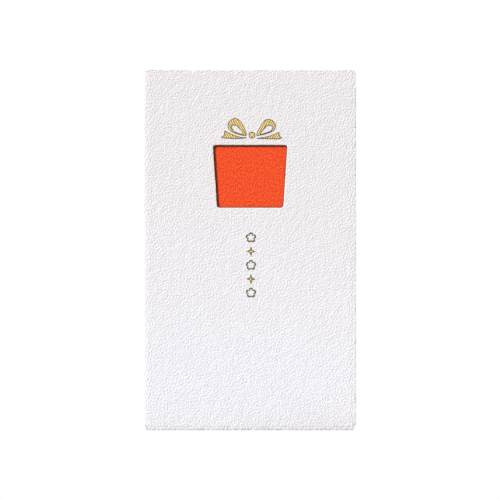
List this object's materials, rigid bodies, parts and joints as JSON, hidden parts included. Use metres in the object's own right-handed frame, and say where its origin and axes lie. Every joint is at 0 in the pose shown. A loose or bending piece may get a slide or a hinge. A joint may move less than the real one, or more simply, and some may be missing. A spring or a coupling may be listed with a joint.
{
  "type": "money gift envelope",
  "caption": "Money gift envelope of embossed card with a gift-box window, gold foil bow, a closure flap at the back and an orange inner envelope that slides inside.",
  "frame": {"origin": "centre of the bottom of the bounding box, under the middle of the bottom fold", "axes": "+Z runs from the bottom fold to the mouth and closure flap, the way up that the front is read. The printed front faces -Y, the back with the closure flap faces +Y, and +X is on the reader's right. The frame stands the envelope up as it is read; left alone it lies flat on its back or front"},
  "size_m": [0.106, 0.0044, 0.18],
  "materials": {
    "white_card": "uncoated white card with a fine felt-marked embossing",
    "orange_paper": "through-dyed orange paper, matt, with fine fibres",
    "gold_foil": "matt antique gold foil, hot-stamped into the card",
    "dried_glue": "thin line of dried paper glue"
  },
  "bodies": {
    "outer_envelope": {"outer_front_panel": "white_card", "outer_left_fold": "white_card", "outer_right_fold": "white_card", "outer_left_flap": "white_card", "outer_right_flap": "white_card", "outer_bottom_fold": "white_card", "outer_back_panel": "white_card", "left_seam_glue": "dried_glue", "right_seam_glue": "dried_glue", "bow_knot": "gold_foil", "bow_left_loop": "gold_foil", "bow_right_loop": "gold_foil", "bow_left_tail": "gold_foil", "bow_right_tail": "gold_foil", "foil_mark_1": "gold_foil", "foil_mark_2": "gold_foil", "foil_mark_3": "gold_foil", "foil_mark_4": "gold_foil", "foil_mark_5": "gold_foil"},
    "closure_crease": {"closure_crease": "white_card"},
    "closure_flap": {"closure_flap": "white_card"},
    "inner_envelope": {"inner_front_panel": "orange_paper", "inner_left_fold": "orange_paper", "inner_right_fold": "orange_paper", "inner_left_flap": "orange_paper", "inner_right_flap": "orange_paper", "inner_bottom_fold": "orange_paper", "inner_back_panel": "orange_paper", "inner_top_fold": "orange_paper", "inner_closure_flap": "orange_paper", "inner_left_glue": "dried_glue", "inner_right_glue": "dried_glue"}
  },
  "joints": [
    {"name": "crease_fold", "type": "hinge", "parent": "outer_envelope", "child": "closure_crease", "pos_m": [0, -0.00189, 0.17977], "axis": [1, 0, 0], "range_deg": [0, 90]},
    {"name": "flap_fold", "type": "hinge", "parent": "closure_crease", "child": "closure_flap", "pos_m": [0, 0.00196, 0.17977], "axis": [1, 0, 0], "range_deg": [0, 90]},
    {"name": "inner_slide", "type": "slide", "parent": "outer_envelope", "child": "inner_envelope", "axis": [0, 0, 1], "range_m": [0, 0.012]}
  ],
  "couplings": [
    {"joint": "flap_fold", "follows": "crease_fold", "ratio": 1}
  ]
}
